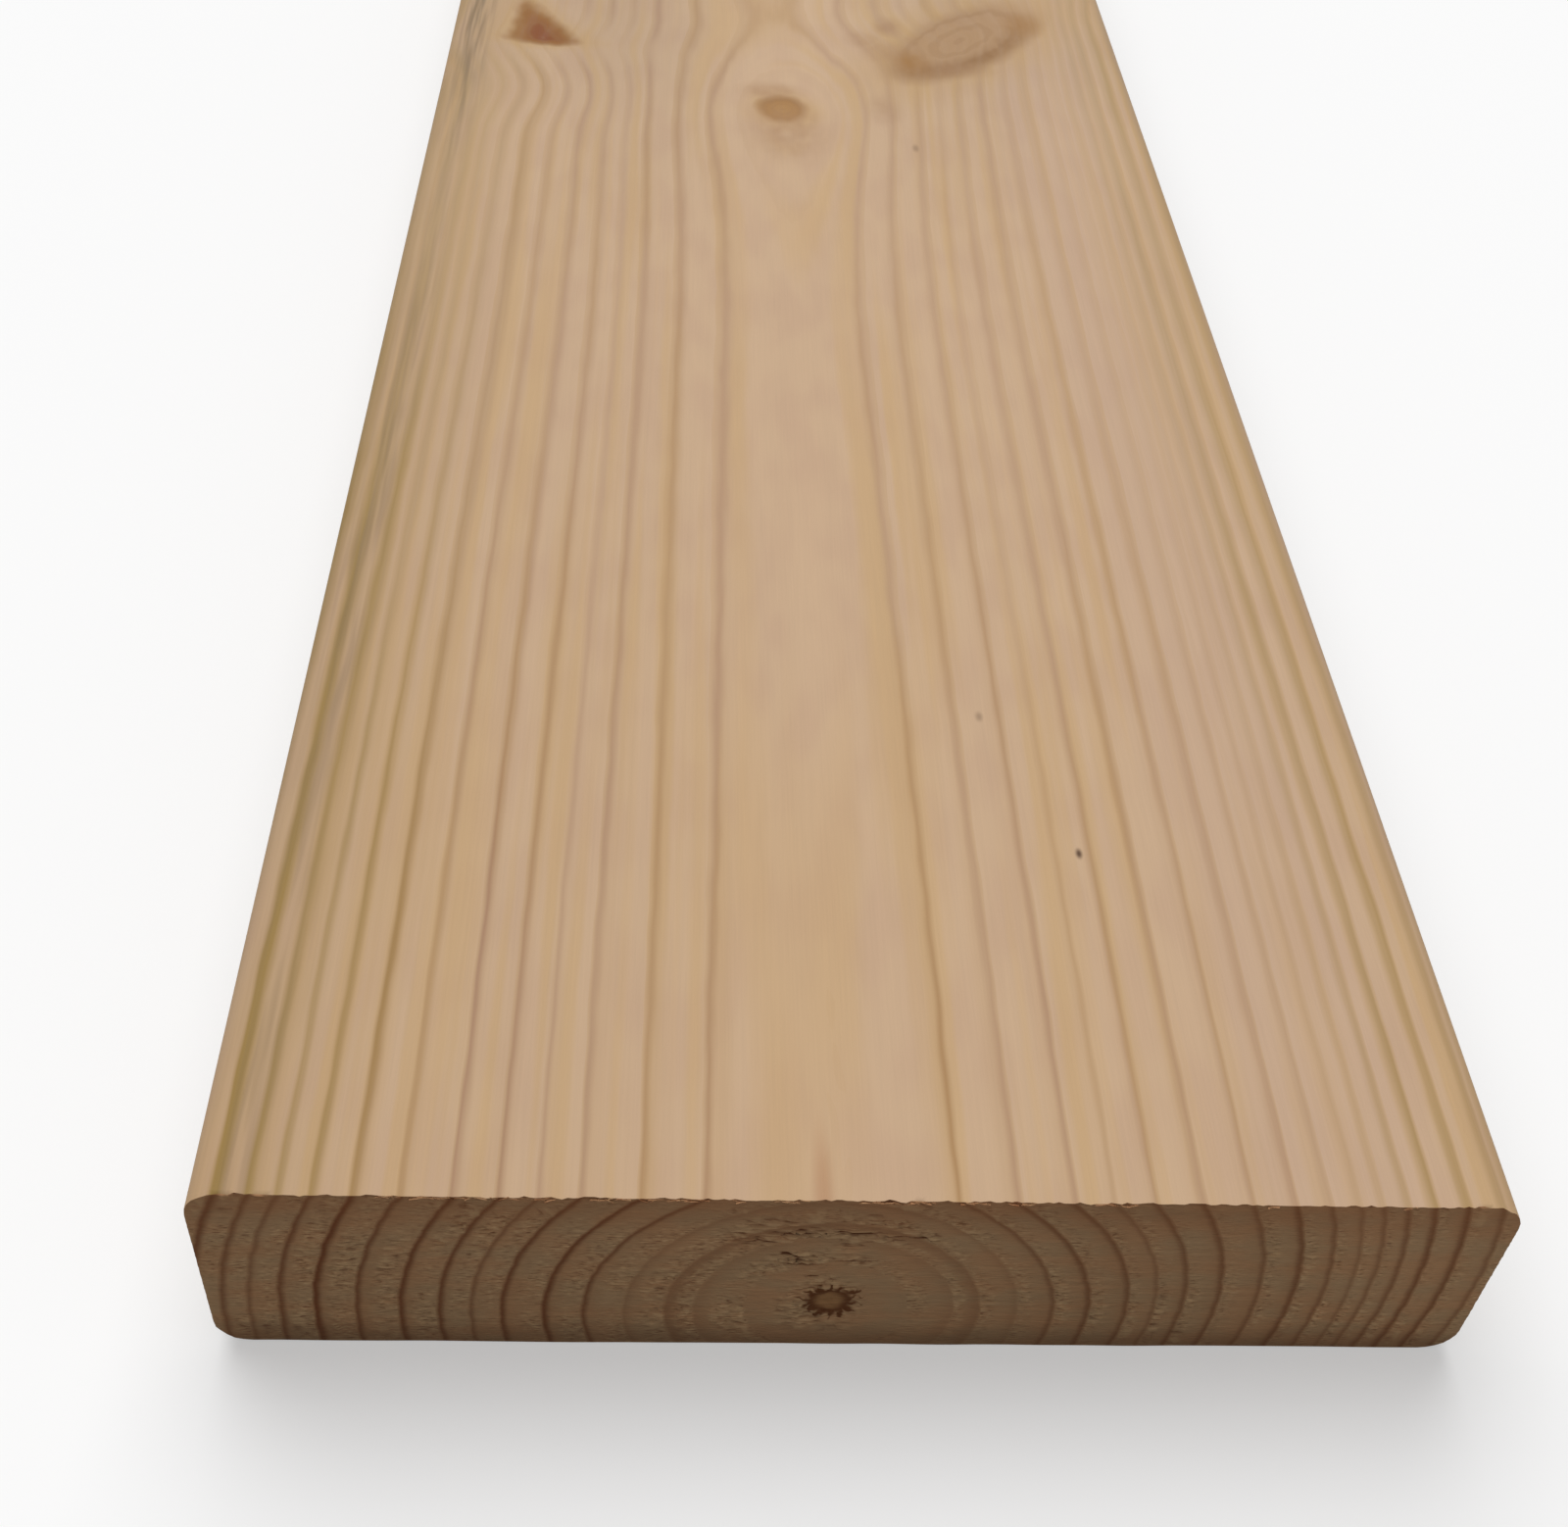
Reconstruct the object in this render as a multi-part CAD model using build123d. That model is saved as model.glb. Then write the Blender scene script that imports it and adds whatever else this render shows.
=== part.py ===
from build123d import *
import os

# Planed softwood plank: one sawn length of timber with its four long edges eased.
# It lies flat on its wide face, with its length along Y, its width along X and its
# thickness along Z. The origin is the middle of the underside.

# Driving dimensions, in millimetres
plank_length = 2400.0  # along the grain, a stock length
plank_width = 220.0  # planed width of the wide faces
plank_thickness = 45.0  # planed thickness of the narrow edges
arris_radius = 6.0  # rounding of the four long edges

parts_folder = "parts"


def planed_section():
    """The section that leaves the planer: a rectangle with all four arrises rounded."""
    standing = Plane.XZ.offset(-plank_length / 2)
    resting = standing * Pos(Y=plank_thickness / 2)
    return resting * RectangleRounded(plank_width, plank_thickness, arris_radius)


def sawn_plank():
    """The section run along the grain and cross-cut square at both ends."""
    plank = extrude(planed_section(), amount=plank_length)
    plank.label = "plank"
    return plank


def export_parts(*pieces):
    """One STEP file for each piece, named after it."""
    os.makedirs(parts_folder, exist_ok=True)
    for piece in pieces:
        export_step(piece, os.path.join(parts_folder, piece.label + ".step"))


export_parts(sawn_plank())
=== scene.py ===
import math
import random

import bpy
import numpy as np
from mathutils import Matrix, Vector, noise


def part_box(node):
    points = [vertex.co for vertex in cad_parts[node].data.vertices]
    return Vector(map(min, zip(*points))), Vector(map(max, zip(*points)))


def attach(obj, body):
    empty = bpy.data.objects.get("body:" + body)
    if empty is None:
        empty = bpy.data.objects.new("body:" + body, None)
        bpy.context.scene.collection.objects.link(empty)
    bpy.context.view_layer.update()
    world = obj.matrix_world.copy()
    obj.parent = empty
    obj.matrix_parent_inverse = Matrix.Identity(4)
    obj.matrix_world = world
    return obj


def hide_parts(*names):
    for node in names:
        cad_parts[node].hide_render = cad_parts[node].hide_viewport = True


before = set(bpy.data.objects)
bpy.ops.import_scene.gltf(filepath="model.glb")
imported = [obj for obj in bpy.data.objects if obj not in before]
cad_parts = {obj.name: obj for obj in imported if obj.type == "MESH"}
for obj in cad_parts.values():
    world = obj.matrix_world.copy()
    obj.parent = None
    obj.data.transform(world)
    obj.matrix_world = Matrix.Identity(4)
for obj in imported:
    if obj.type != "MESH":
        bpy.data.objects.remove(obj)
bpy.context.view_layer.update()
print("frame loaded:", sorted(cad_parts))

mm = 0.001
plankLow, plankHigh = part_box("plank")
plankSize = plankHigh - plankLow


# Studio: camera at the photograph's angle, one broad soft sun, a pale floor

studio = {
    "eye": (-0.0344, plankLow.y - 0.1747, plankHigh.z + 0.2665),
    "lookDown": 43.79,  # degrees below the horizon
    "lookRight": 4.82,
    "tilt": 4.76,
    "lens": 44.32,
    "clipStart": 0.01,
    "sunTurn": (-32.0, -8.0),  # degrees about X and Y: from behind, a little to the right
    "sunSpread": 60.0,
    "sunPower": 2.50,
    "skyPower": 0.32,
    "floorSize": 60.0,
    "floorDrop": 0.2 * mm,  # clear of the underside
    "floorShown": (0.97, 0.97, 0.97, 1.0),
    "floorGlow": 0.40,  # share of the shown floor that is its own pale light, so its shadow stays soft
    "floorBounce": (0.24, 0.23, 0.22, 1.0),  # what the object gets back from the floor
}


def deselectAll():
    if bpy.context.object and bpy.context.object.mode != "OBJECT":
        bpy.ops.object.mode_set(mode="OBJECT")
    bpy.ops.object.select_all(action="DESELECT")


def addCamera():
    turn = (
        Matrix.Rotation(-math.radians(studio["lookRight"]), 4, "Z")
        @ Matrix.Rotation(math.radians(90 - studio["lookDown"]), 4, "X")
        @ Matrix.Rotation(math.radians(studio["tilt"]), 4, "Z")
    )
    bpy.ops.object.camera_add(location=studio["eye"], rotation=turn.to_euler())
    camera = bpy.context.object
    camera.data.lens = studio["lens"]
    camera.data.clip_start = studio["clipStart"]
    bpy.context.scene.camera = camera


def addSun():
    turnX, turnY = (math.radians(angle) for angle in studio["sunTurn"])
    bpy.ops.object.light_add(type="SUN", rotation=(turnX, turnY, 0))
    sun = bpy.context.object.data
    sun.energy = studio["sunPower"]
    sun.angle = math.radians(studio["sunSpread"])


# Wires: sums on material values are written as plain Python

class Wire:
    def __init__(self, bench, socket):
        self.bench = bench
        self.socket = socket

    def math(self, operation, other=0.0, swapped=False):
        first, second = (other, self) if swapped else (self, other)
        return self.bench.add("ShaderNodeMath", {"operation": operation}, {0: first, 1: second})

    def __add__(self, other):
        return self.math("ADD", other)

    def __radd__(self, other):
        return self.math("ADD", other, True)

    def __sub__(self, other):
        return self.math("SUBTRACT", other)

    def __rsub__(self, other):
        return self.math("SUBTRACT", other, True)

    def __mul__(self, other):
        return self.math("MULTIPLY", other)

    def __rmul__(self, other):
        return self.math("MULTIPLY", other, True)

    def __truediv__(self, other):
        return self.math("DIVIDE", other)

    def __rtruediv__(self, other):
        return self.math("DIVIDE", other, True)

    def __pow__(self, other):
        return self.math("POWER", other)

    def __rpow__(self, other):
        return self.math("POWER", other, True)

    def __floordiv__(self, other):
        return (self / other).math("FLOOR")

    def __rfloordiv__(self, other):
        return (other / self).math("FLOOR")

    def __gt__(self, other):
        return self.math("GREATER_THAN", other)

    def __lt__(self, other):
        return self.math("LESS_THAN", other)

    def __abs__(self):
        return self.math("ABSOLUTE")


class Bench:
    def __init__(self, tree):
        self.tree = tree
        self.tree.nodes.clear()

    # every node: its kind, its settings first, then its sockets' values or links, and what it gives
    def add(self, kind, settings=None, sockets=None, output=0):
        node = self.tree.nodes.new(kind)
        for name, value in (settings or {}).items():
            if name == "stops":
                self.setStops(node.color_ramp, value)
            elif name == "rampStep":
                node.color_ramp.interpolation = value
            else:
                setattr(node, name, value)
        for name, value in (sockets or {}).items():
            if isinstance(value, Wire):
                self.tree.links.new(value.socket, node.inputs[name])
            else:
                node.inputs[name].default_value = value
        if isinstance(output, tuple):
            return [Wire(self, node.outputs[name]) for name in output]
        return Wire(self, node.outputs[output]) if len(node.outputs) else node

    def setStops(self, ramp, stops):
        while len(ramp.elements) < len(stops):
            ramp.elements.new(1.0)
        for element, (place, shade) in zip(ramp.elements, stops):
            element.position = place
            element.color = (shade, shade, shade, 1.0)

    def ease(self, value, low, high):
        settings = {"interpolation_type": "SMOOTHSTEP"}
        return self.add("ShaderNodeMapRange", settings, {0: value, 1: low, 2: high})

    # 0 further than wide from the centre, 1 nearer than full
    def near(self, value, centre, wide, full):
        return self.ease(abs(value - centre), wide, full)

    def mix(self, share, first, second, blend="MIX"):
        settings = {"data_type": "RGBA", "blend_type": blend}
        return self.add("ShaderNodeMix", settings, {0: share, 6: first, 7: second}, 2)

    def vector(self, operation, first, second=None, output=0):
        sockets = {0: first} if second is None else {0: first, 1: second}
        return self.add("ShaderNodeVectorMath", {"operation": operation}, sockets, output)

    # noise with features of about the given size in mm, as a value from 0 to 1
    def cloud(self, place, size, detail=1.0, rough=0.5, shift=(0.0, 0.0, 0.0)):
        scale = [1 / side for side in size]
        spot = self.add("ShaderNodeMapping", {}, {"Vector": place, "Location": shift, "Scale": scale})
        sockets = {"Vector": spot, "Scale": 1.0, "Detail": detail, "Roughness": rough}
        return self.add("ShaderNodeTexNoise", {}, sockets)

    # the same about zero, swinging so many mm in all
    def waver(self, place, swing, size, detail):
        return (self.cloud(place, size, detail) - 0.5) * swing

    def grey(self, shade):
        return self.add("ShaderNodeCombineColor", {}, {0: shade, 1: shade, 2: shade})


def paint(red, green, blue):
    def toLinear(value):
        value /= 255
        return value / 12.92 if value <= 0.04045 else ((value + 0.055) / 1.055) ** 2.4

    return (toLinear(red), toLinear(green), toLinear(blue), 1.0)


def newBench(name):
    material = bpy.data.materials.new(name)
    material.use_nodes = True
    return material, Bench(material.node_tree)


# 1 where the camera sees a thing itself, in a mirror or through glass
def seenDirectly(bench):
    rays = ("Is Camera Ray", "Is Glossy Ray", "Is Transmission Ray")
    camera, glossy, clear = bench.add("ShaderNodeLightPath", {}, {}, rays)
    return camera.math("MAXIMUM", glossy).math("MAXIMUM", clear)


def addSky():
    world = bpy.data.worlds.new("studioSky")
    bpy.context.scene.world = world
    world.use_nodes = True
    bench = Bench(world.node_tree)
    strength = studio["skyPower"] + (1.0 - studio["skyPower"]) * seenDirectly(bench)
    white = (1.0, 1.0, 1.0, 1.0)
    sky = bench.add("ShaderNodeBackground", {}, {"Color": white, "Strength": strength})
    bench.add("ShaderNodeOutputWorld", {}, {"Surface": sky})


def addFloor():
    deselectAll()
    height = plankLow.z - studio["floorDrop"]
    bpy.ops.mesh.primitive_plane_add(size=studio["floorSize"], location=(0, 0, height))
    floor = bpy.context.object
    floor.name = "studioFloor"
    material, bench = newBench("paleFloor")
    direct = seenDirectly(bench)
    tone = bench.mix(direct, studio["floorBounce"], studio["floorShown"])
    matte = bench.add("ShaderNodeBsdfDiffuse", {}, {"Color": tone})
    glow = bench.add("ShaderNodeEmission", {}, {"Color": studio["floorShown"], "Strength": 1.0})
    sheet = bench.add("ShaderNodeMixShader", {}, {0: direct * studio["floorGlow"], 1: matte, 2: glow})
    bench.add("ShaderNodeOutputMaterial", {}, {"Surface": sheet})
    floor.data.materials.append(material)


deselectAll()
addCamera()
addSun()
addSky()
addFloor()
bpy.context.scene.view_settings.view_transform = "Standard"
print("studio set")


# Grain: growth rings round a wandering pith, and whorls of branches that push them aside.
# All in mm: x across, y from the near end along the grain, z up from the underside.

grain = {
    "pithX": (-4.1, 0.0056, -0.0000022),  # at the near end, drift, curve
    "pithZ": (14.25, -0.0085, 0.0000036),
    "offCentre": 0.037,  # rings are wider on the left
    "leanLeft": (0.140, 0.0006),  # rings are closer above the pith: at the pith, less outwards
    "leanRight": (0.170, 0.0021),
    "fold": (0.055, 38.0, 18.0),  # and closer still right of the middle: how much, where, how wide
    "leftStretch": (1.8, 100.0, 8.0),  # the outer rings on the left spread: mm, at this radius, power
    "ringRadii": (
        13.0, 21.6, 26.4, 33.2, 40.0, 46.5, 53.5, 58.5, 63.7, 69.9, 76.9,
        83.3, 88.6, 93.0, 96.6, 100.5, 104.7, 109.9, 115.5, 121.5, 128.0,
    ),
    "ringDarkness": (
        0.05, 0.25, 0.50, 0.28, 0.72, 0.88, 0.82, 0.54, 0.80, 0.86, 0.75,
        0.96, 0.74, 0.52, 0.65, 0.80, 1.00, 1.00, 0.72, 0.75, 0.80,
    ),
    "lineShift": 0.8,  # mm that a ring's dark line lies inside its outer edge
    "reachMost": 140.0,
    "lateWidth": (0.55, 0.011),  # mm of dark wood in a ring at the pith, and more outwards
    "lineWider": (0.45, 0.55),  # share of that in a faint ring, and more in a dark one
    "lineCore": 0.5,  # share of it that is fully dark
    "wander": (1.4, (24.0, 300.0, 24.0), 0.0),  # the rings' slow waver: mm, over what size, detail
    "wobble": (0.7, (3.0, 18.0, 3.0), 1.0),  # and their fine one
    "whorlFirst": 364.0,
    "whorlSpacing": 470.0,
    "whorlLead": 120.0,
    "whorlTurn": 2.4,  # radians from one whorl to the next
    "whorlFade": (0.35, 0.618),  # later whorls are up to so much smaller, each by another share
    "collar": (1.2, 268.0, 216.0),  # the stem is thicker below the first whorl: mm, where, how long
    "sway": (-3.7, 110.0, 25.0),  # the pith swings aside past a whorl
    "pinch": (-6.1, 78.5, 48.0),  # and the rings draw in
    "swellSpread": 27.0,  # how far round a branch the rings bulge
    "cone": 8.0,  # a branch thickens over about this length
    "tailDraw": 0.84,  # share of a branch's tail that is drawn out
}

# a branch: angle in the section, rise along the grain, start past the whorl, thickness at its outer
# end, bulge of the rings round it; its wood, softness of its outline, strength of its wood, its heart's
# wood and strength; strength of its rim, the side where that is dark (1 up the grain, -1 down, 0 all
# round), how ragged its outline is
branchKeys = (
    "angle", "rise", "start", "thick", "bulge",
    "wood", "soft", "fill", "core", "heart", "rim", "side", "ragged",
)
branchRows = (
    (93.0, 0.50, 12.2, 8.8, 1.11, "knotGolden", 0.32, 0.95, "halo", 0.12, 0.65, 1.0, 0.40),
    (30.0, 0.92, 23.0, 13.2, 1.15, "knotPale", 0.22, 0.75, "knotGolden", 0.15, 0.85, -1.0, 0.22),
    (156.4, 0.08, 65.0, 4.8, 2.35, "knotBrown", 0.34, 1.00, "knotOrange", 1.00, 0.35, -1.0, 0.45),
    (-58.0, 1.00, 8.0, 8.5, 1.10, "knotGolden", 0.20, 0.90, "knotBrown", 0.40, 0.60, 0.0, 0.30),
    (-125.0, 1.05, -4.0, 9.0, 1.10, "knotBrown", 0.18, 0.80, "knotOrange", 0.60, 0.65, 0.0, 0.30),
)
# times taller than wide, tail along the grain (narrowing, lean), dip of the rings below (depth, where,
# how long, how wide), how far round it the dark lines are gone
plainBranch = {"tall": 1.0, "tail": (0.0, 0.0), "dip": (0.0, 0.0, 1.0, 1.0), "calm": 1.3}
branches = [{**plainBranch, **dict(zip(branchKeys, row))} for row in branchRows]
branches[1].update({"tall": 1.3})
branches[2].update({"tail": (0.17, 0.10), "dip": (4.2, -35.6, 19.4, 9.7), "calm": 6.0})


def alongCurve(numbers, y):
    start, drift, curve = numbers
    return start + y * (drift + y * curve)


def hump(numbers, y):
    height, place, length = numbers
    past = (y - place) / length
    return height * math.e ** (-1.0 * past * past)


# the rings without their branches, for wires in a material and for arrays on the mesh alike
def ringField(x, y, z):
    late = grain["whorlLead"] - grain["whorlFirst"]
    whorl = (y + late) // grain["whorlSpacing"]
    local = y - grain["whorlFirst"] - whorl * grain["whorlSpacing"]
    begun = whorl > -0.5  # no whorl before the first
    outX = x - alongCurve(grain["pithX"], y)
    outZ = z - alongCurve(grain["pithZ"], y)
    dx = outX - hump(grain["sway"], local) * begun
    dz = outZ - hump(grain["pinch"], local) * begun
    radius = (dx * dx + dz * dz + 0.01) ** 0.5
    rightness = 0.5 + 0.5 * dx / radius
    leanLeft, fadeLeft = grain["leanLeft"]
    leanRight, fadeRight = grain["leanRight"]
    lean = leanLeft - radius * fadeLeft
    lean = lean + rightness * ((leanRight - leanLeft) - radius * (fadeRight - fadeLeft))
    lean = lean + hump(grain["fold"], dx)
    reach = radius + grain["offCentre"] * dx + lean * dz - grain["lineShift"]
    stretch, there, power = grain["leftStretch"]
    reach = reach - (1.0 - rightness) * stretch * (radius / there) ** power - hump(grain["collar"], y)
    return {
        "dx": dx, "dz": dz, "radius": radius, "reach": reach,
        "outX": outX, "outZ": outZ, "whorl": whorl, "local": local,
    }


# each branch of the whorl as a knot, and how far they all push the rings out
def branchField(bench, field):
    whorl, outX, outZ = field["whorl"], field["outX"], field["outZ"]
    turn = whorl * grain["whorlTurn"]
    cosine, sine = turn.math("COSINE"), turn.math("SINE")
    turnedX = outX * cosine + outZ * sine
    turnedZ = outZ * cosine - outX * sine
    spot = bench.add("ShaderNodeCombineXYZ", {}, {0: turnedX, 1: field["local"], 2: turnedZ})
    less, step = grain["whorlFade"]
    fading = whorl * step
    lead = grain["whorlLead"]
    size = (1.0 - less * (fading - fading // 1.0)) * (whorl > -0.5)
    size = size * bench.ease(field["local"], -lead, -lead / 2)
    swell = 0.0
    knots = []
    for branch in branches:
        angle = math.radians(branch["angle"])
        cosine, sine = math.cos(angle), math.sin(angle)
        rise, start, thick = branch["rise"], branch["start"], branch["thick"]
        steep = 1.0 / math.hypot(1.0, rise)
        along = bench.vector("DOT_PRODUCT", spot, (cosine, 0.0, sine), 1)
        across = bench.vector("DOT_PRODUCT", spot, (-sine, 0.0, cosine), 1)
        upward = (-rise * cosine * steep, steep, -rise * sine * steep)
        lift = bench.vector("DOT_PRODUCT", spot, upward, 1) - start * steep
        raised = lift / thick
        apart = (across * across + lift * lift) ** 0.5
        fall = math.e ** (apart * (-1.0 / grain["swellSpread"])) * (thick * branch["bulge"])
        deep, below, long, wide = branch["dip"]
        if deep:
            fall = fall - hump((deep, below, long), lift) * hump((1.0, 0.0, wide), across)
        narrowing, lean = branch["tail"]
        if narrowing:
            trail = lift.math("MAXIMUM", 0.0)
            across = (across - trail * lean) * (1.0 + trail * (narrowing / thick))
            lift = lift - trail * grain["tailDraw"]
        lift = lift / branch["tall"]
        apart = (across * across + lift * lift) ** 0.5
        outward = along.math("MAXIMUM", 0.0)
        grown = size * (outward / (outward + grain["cone"]))
        swell = swell + fall * grown
        knots.append({"out": apart / (grown * thick + 0.01), "raised": raised, "branch": branch})
    return swell, knots


def woodPlace(bench):
    spot = bench.add("ShaderNodeTexCoord", {}, {}, "Object")
    lift = (0.0, -plankLow.y / mm, -plankLow.z / mm)
    scale = (1 / mm, 1 / mm, 1 / mm)
    return bench.add("ShaderNodeMapping", {}, {"Vector": spot, "Location": lift, "Scale": scale})


# a point's share of its year, how dark that year ends, and the mm left to the year's end
def yearOf(bench, reach):
    radii = grain["ringRadii"]
    count = len(radii)
    most = grain["reachMost"]
    stops = [(0.0, 0.0)]
    stops += [(radius / most, (year + 1) / count) for year, radius in enumerate(radii)]
    index = bench.add("ShaderNodeValToRGB", {"stops": stops}, {0: reach / most}) * float(count)
    year = index // 1.0
    middle = (year + 0.5) / float(count)
    widths = [last - first for first, last in zip((0.0,) + radii, radii)]
    darkStops = [(step / count, dark) for step, dark in enumerate(grain["ringDarkness"])]
    wideStops = [(step / count, wide / most) for step, wide in enumerate(widths)]
    dark = bench.add("ShaderNodeValToRGB", {"rampStep": "CONSTANT", "stops": darkStops}, {0: middle})
    wide = bench.add("ShaderNodeValToRGB", {"rampStep": "CONSTANT", "stops": wideStops}, {0: middle})
    phase = index - year
    return phase, dark, (1.0 - phase) * wide * most


# a value that begins at the first number and rises by the second
def rising(numbers, share):
    start, more = numbers
    return start + more * share


# lay a tint over a colour: its numbers are the paint, where it begins, where it is full, and its share
def tint(bench, under, numbers, value, share=1.0):
    colour, low, high, most = numbers
    return bench.mix(bench.ease(value, low, high) * share * most, under, colour)


def finishWood(bench, face, colour, rough, uneven):
    force, high = face["bump"]
    bump = bench.add("ShaderNodeBump", {}, {"Strength": force, "Distance": high, "Height": uneven})
    sockets = {
        "Base Color": colour,
        "Roughness": rough,
        "Normal": bump,
        "Specular IOR Level": face["shine"],
    }
    shader = bench.add("ShaderNodeBsdfPrincipled", {}, sockets)
    bench.add("ShaderNodeOutputMaterial", {}, {"Surface": shader})


# the dark line that ends a year: soft towards the pith, sharp outwards, wider where it is darker
def lateLine(bench, width, dark, left, soft, sharp):
    depth = left / (width * rising(grain["lineWider"], dark))
    return bench.ease(depth, 1.0 + soft, grain["lineCore"]) * bench.ease(left, 0.0, sharp)


# Dark lines on the planed faces. A stretch goes from none to full, a zone is a centre, a half width
# and the half width at its full strength, all in mm.

darkLines = {
    "soft": 0.6,
    "far": (0.0, 280.0),  # along the plank they turn broad, blurred and weak
    "farWidth": (0.97, 0.95),
    "farBlur": (0.6, 1.1),
    "farFade": 0.25,
    "paleZone": (78.0, 16.0, 6.0),  # a pale strip on the right
    "paleAlong": (90.0, 220.0),
    "paleShare": (0.6, 0.4),
    "paleFade": 0.55,
    "shown": (28.0, 38.0),  # out from the pith: the rings inside show none
    "first": (43.0, 40.5),  # and the first that shows is stronger
    "firstMore": 0.35,
    "left": (-30.0, -60.0),  # so are those on the left
    "leftMore": 0.22,
    "rim": (-84.0, -95.0),  # along the left edge at the near end
    "rimAlong": (330.0, 180.0),
    "rimMore": 1.1,
    "innerZone": (-36.0, 22.0, 12.0),  # and left of the middle further on
    "innerAlong": (180.0, 260.0),
    "innerMore": 0.35,
    "uneven": (0.20, 0.75),
}


def drawLines(bench, x, y, reach, dark, left):
    look = darkLines
    far = bench.ease(y, *look["far"])
    width = rising(grain["lateWidth"], reach) * rising(look["farWidth"], far)
    line = lateLine(bench, width, dark, left, look["soft"], rising(look["farBlur"], far))
    paleFrom = bench.ease(y, *look["paleAlong"])
    pale = rising(look["paleShare"], paleFrom) * bench.near(x, *look["paleZone"])
    fade = (1.0 - look["farFade"] * far) * (1.0 - look["paleFade"] * pale)
    fade = fade * bench.ease(reach, *look["shown"])
    leftSide = bench.ease(x, *look["left"])
    rim = bench.ease(x, *look["rim"]) * bench.ease(y, *look["rimAlong"])
    inner = bench.near(x, *look["innerZone"]) * bench.ease(y, *look["innerAlong"])
    fade = fade * (1.0 + look["leftMore"] * leftSide + look["rimMore"] * rim + look["innerMore"] * inner)
    fade = fade * (1.0 + look["firstMore"] * bench.ease(reach, *look["first"]))
    return line, line * dark * fade


# Planed faces

planedFace = {
    "early": paint(198, 167, 135),
    "pinkish": paint(194, 162, 132),
    "mauve": paint(190, 160, 138),
    "golden": (paint(194, 159, 112), 0.44, 0.72, 0.58),
    "turning": (paint(184, 149, 106), 0.45, 0.97, 0.42),
    "late": paint(152, 112, 66),
    "lateMauve": paint(154, 115, 88),
    "lateGolden": paint(152, 122, 66),
    "edge": paint(168, 135, 90),
    "knotGolden": paint(158, 113, 56),
    "knotPale": paint(174, 138, 102),
    "knotOrange": paint(128, 66, 10),
    "knotBrown": paint(146, 97, 36),
    "knotRim": paint(144, 104, 60),
    "halo": paint(190, 152, 96),
    "smudge": paint(164, 126, 90),
    "pithMark": paint(172, 126, 90),
    "stain": paint(122, 100, 70),
    "speck": paint(84, 60, 42),
    "roughness": 0.60,
    "fibreRough": 0.10,
    "lineSmooth": 0.08,
    "shine": 0.16,
    "bump": (0.25, 0.08 * mm),  # strength and height of the fibres
    # patterns: size in mm, detail, roughness, shift
    "band": ((1.1, 120.0, 5.0), 1.0, 0.6),  # these two across the rings, along and across the plank
    "strip": ((3.0, 190.0, 7.0), 1.0, 0.5, (7.0, 3.0, 1.0)),
    "bandSlant": 0.15,
    "blotch": ((9.0, 24.0, 9.0),),
    "ragged": ((4.5, 9.0, 4.5),),
    "pores": ((1.6, 36.0, 1.6), 1.0, 0.6, (2.0, 9.0, 4.0)),
    "fibre": ((0.35, 20.0, 0.35), 1.0, 0.6),
    # where the other tints lie, from none to full in their pattern or in mm, and their shares
    "earlyStep": (0.30, 0.65),
    "mauveShare": 0.40,
    "mauveZone": (80.0, 24.0, 8.0),
    "leftMargin": (-72.0, -108.0),
    "leftShare": 0.38,
    "leftRim": (-102.0, -108.0),  # the edge itself is paler again
    "leftRimLess": 0.16,
    "rightMargin": (92.0, 110.0),
    "rightShare": 0.15,
    "mauveLines": (0.60, 0.40),
    "goldenLines": (70.0, 94.0),  # from the middle to either side
    "poreStep": (0.30, 0.70),
    "stainZone": (-101.8, 7.5, 0.0),  # along the left edge
    "stainUp": (30.0, 42.0),
    "stainLength": 560.0,
    "stainStops": (  # share of that length, strength
        (0.0, 0.40), (0.14, 0.34), (0.28, 0.60), (0.42, 0.42),
        (0.62, 0.20), (0.74, 0.85), (0.80, 1.00), (1.0, 0.10),
    ),
    # uneven tints: the least, and more with the noise
    "edgeUneven": (0.5, 1.0),
    "haloUneven": (0.10, 0.6),
    "rimUneven": (0.35, 1.0),
    "smudgeUneven": (0.25, 1.3),
    "tipUneven": (0.4, 1.1),
    "stainUneven": (0.10, 0.8),
    # knots, out from a branch's heart at 0 to its bark at 1
    "haloOut": (2.3, 1.0),
    "calmIn": 0.8,
    "rimZone": (0.92, 0.50, 0.02),
    "rimSides": (0.22, 0.78),
    "rimTurn": (-0.6, 0.8),
    "heartOut": (0.85, 0.1),
    "knotYears": 15.0,  # radians
    "yearTurn": (0.1, 1.0),
    "yearShare": 0.22,
}

# brightness: what the fibres and bands add, and what is lost on the left, further along, and at both
# sides of the first whorl
dimming = {
    "least": 0.916,
    "fibre": 0.09,
    "band": 0.06,
    "left": (-10.0, -50.0),
    "leftLess": 0.030,
    "far": (280.0, 420.0),
    "farZone": (45.0, 40.0, 12.0),
    "farLess": 0.05,
    "whorl": (375.0, 445.0),
    "whorlEnd": (640.0, 480.0),
    "whorlSides": (20.0, 60.0),
    "whorlLess": 0.055,
}

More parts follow.
